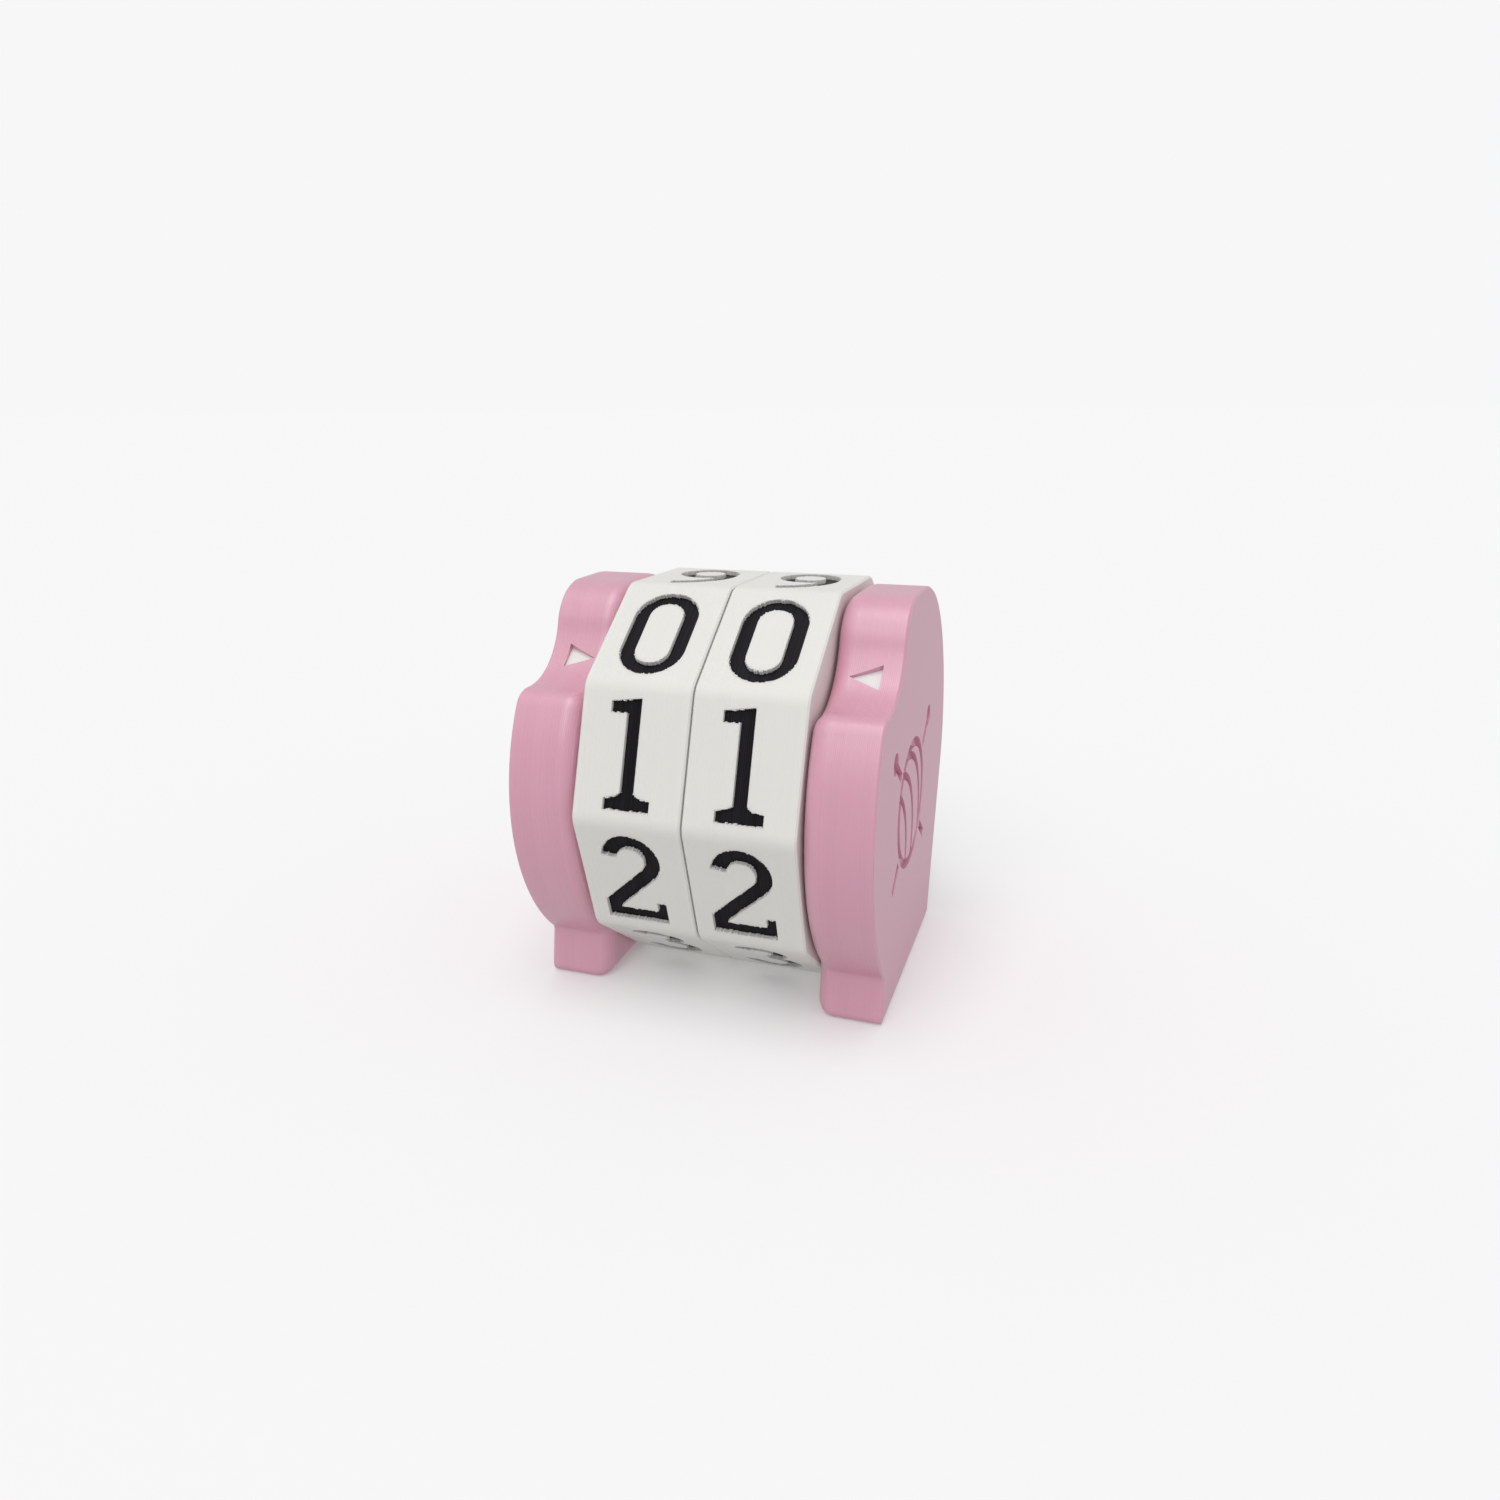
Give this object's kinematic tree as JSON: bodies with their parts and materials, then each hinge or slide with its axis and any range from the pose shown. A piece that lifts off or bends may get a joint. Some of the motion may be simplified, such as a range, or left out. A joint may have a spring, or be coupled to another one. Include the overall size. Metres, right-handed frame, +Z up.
{
  "type": "row counter",
  "caption": "Desk row counter for knitting: two ten-sided number rings turn by hand between two side frames with notched pointers.",
  "frame": {"origin": "centre of the overall box, on the surface that the counter stands on", "axes": "+X left to right along the axle, +Y front to back, +Z up"},
  "size_m": [0.0388, 0.046, 0.0443],
  "materials": {
    "pink_print": "pink printed plastic with fine layer lines round the outline",
    "ring_print": "white printed plastic with fine layer lines",
    "digit_print": "black printed plastic with fine layer lines",
    "pointer_print": "white printed plastic",
    "core_print": "white printed plastic, hidden",
    "spring_print": "tough printed plastic, hidden"
  },
  "bodies": {
    "frame": {"left_side_frame": "pink_print", "right_side_frame": "pink_print", "left_pointer_inlay": "pointer_print", "right_pointer_inlay": "pointer_print", "core_axle": "core_print", "centre_divider": "core_print", "tens_click_spring": "spring_print", "units_click_spring": "spring_print"},
    "tens_ring": {"tens_number_ring": "ring_print", "tens_digit_0": "digit_print", "tens_digit_1": "digit_print", "tens_digit_2": "digit_print", "tens_digit_3": "digit_print", "tens_digit_4": "digit_print", "tens_digit_5": "digit_print", "tens_digit_6": "digit_print", "tens_digit_7": "digit_print", "tens_digit_8": "digit_print", "tens_digit_9": "digit_print"},
    "units_ring": {"units_number_ring": "ring_print", "units_digit_0": "digit_print", "units_digit_1": "digit_print", "units_digit_2": "digit_print", "units_digit_3": "digit_print", "units_digit_4": "digit_print", "units_digit_5": "digit_print", "units_digit_6": "digit_print", "units_digit_7": "digit_print", "units_digit_8": "digit_print", "units_digit_9": "digit_print"}
  },
  "joints": [
    {"name": "tens_turn", "type": "hinge", "parent": "frame", "child": "tens_ring", "pos_m": [-0.00602, 0, 0.02225], "axis": [1, 0, 0], "continuous": true, "deforming": ["tens_click_spring"]},
    {"name": "units_turn", "type": "hinge", "parent": "frame", "child": "units_ring", "pos_m": [0.00602, 0, 0.02225], "axis": [1, 0, 0], "continuous": true, "deforming": ["units_click_spring"]}
  ]
}
